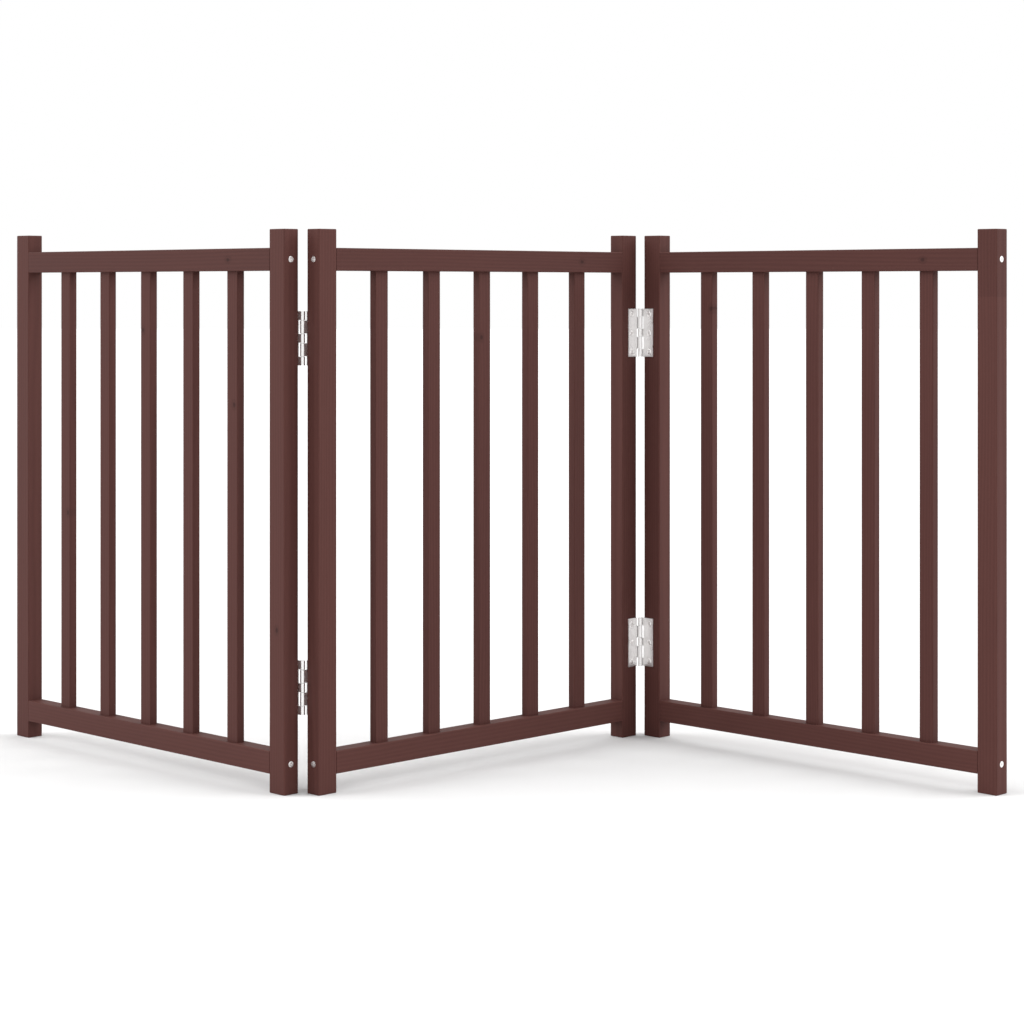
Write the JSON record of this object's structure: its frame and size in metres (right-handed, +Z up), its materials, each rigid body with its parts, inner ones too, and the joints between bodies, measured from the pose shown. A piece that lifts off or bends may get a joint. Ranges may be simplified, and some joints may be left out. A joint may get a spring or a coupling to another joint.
{
  "type": "folding pet gate",
  "caption": "Free-standing folding pet gate: slatted wooden panels painted dark brown stand in a zigzag, joined post to post by zinc butt hinges.",
  "frame": {"origin": "on the floor, at the middle of the object's box, which is the middle of the middle panel", "axes": "+X along the zigzag from the left end to the right end, +Y to the back, +Z up"},
  "size_m": [1.12, 0.3666, 0.6],
  "materials": {
    "painted_wood": "satin dark brown paint over solid wood",
    "hinge_zinc": "zinc-plated pressed sheet",
    "pin_steel": "drawn steel wire, zinc plated",
    "screw_zinc": "bright zinc plate"
  },
  "bodies": {
    "middle_panel": {"left_lower_hinge_middle_leaf": "hinge_zinc", "left_lower_hinge_middle_screws": "screw_zinc", "left_upper_hinge_middle_leaf": "hinge_zinc", "left_upper_hinge_middle_screws": "screw_zinc", "middle_panel_baluster_1": "painted_wood", "middle_panel_baluster_2": "painted_wood", "middle_panel_baluster_3": "painted_wood", "middle_panel_baluster_4": "painted_wood", "middle_panel_baluster_5": "painted_wood", "middle_panel_bottom_rail": "painted_wood", "middle_panel_left_post": "painted_wood", "middle_panel_rail_screws": "screw_zinc", "middle_panel_right_post": "painted_wood", "middle_panel_top_rail": "painted_wood", "right_lower_hinge_middle_leaf": "hinge_zinc", "right_lower_hinge_middle_screws": "screw_zinc", "right_upper_hinge_middle_leaf": "hinge_zinc", "right_upper_hinge_middle_screws": "screw_zinc"},
    "left_panel": {"left_lower_hinge_pin": "pin_steel", "left_lower_hinge_side_leaf": "hinge_zinc", "left_lower_hinge_side_screws": "screw_zinc", "left_panel_baluster_1": "painted_wood", "left_panel_baluster_2": "painted_wood", "left_panel_baluster_3": "painted_wood", "left_panel_baluster_4": "painted_wood", "left_panel_baluster_5": "painted_wood", "left_panel_bottom_rail": "painted_wood", "left_panel_left_post": "painted_wood", "left_panel_rail_screws": "screw_zinc", "left_panel_right_post": "painted_wood", "left_panel_top_rail": "painted_wood", "left_upper_hinge_pin": "pin_steel", "left_upper_hinge_side_leaf": "hinge_zinc", "left_upper_hinge_side_screws": "screw_zinc"},
    "right_panel": {"right_lower_hinge_pin": "pin_steel", "right_lower_hinge_side_leaf": "hinge_zinc", "right_lower_hinge_side_screws": "screw_zinc", "right_panel_baluster_1": "painted_wood", "right_panel_baluster_2": "painted_wood", "right_panel_baluster_3": "painted_wood", "right_panel_baluster_4": "painted_wood", "right_panel_baluster_5": "painted_wood", "right_panel_bottom_rail": "painted_wood", "right_panel_left_post": "painted_wood", "right_panel_rail_screws": "screw_zinc", "right_panel_right_post": "painted_wood", "right_panel_top_rail": "painted_wood", "right_upper_hinge_pin": "pin_steel", "right_upper_hinge_side_leaf": "hinge_zinc", "right_upper_hinge_side_screws": "screw_zinc"}
  },
  "joints": [
    {"name": "left_fold", "type": "hinge", "parent": "middle_panel", "child": "left_panel", "pos_m": [-0.18837, -0.17055, 0.29815], "axis": [0, 0, -1], "range_deg": [-109, 90]},
    {"name": "right_fold", "type": "hinge", "parent": "middle_panel", "child": "right_panel", "pos_m": [0.18837, 0.17055, 0.29815], "axis": [0, 0, -1], "range_deg": [-109, 90]}
  ]
}
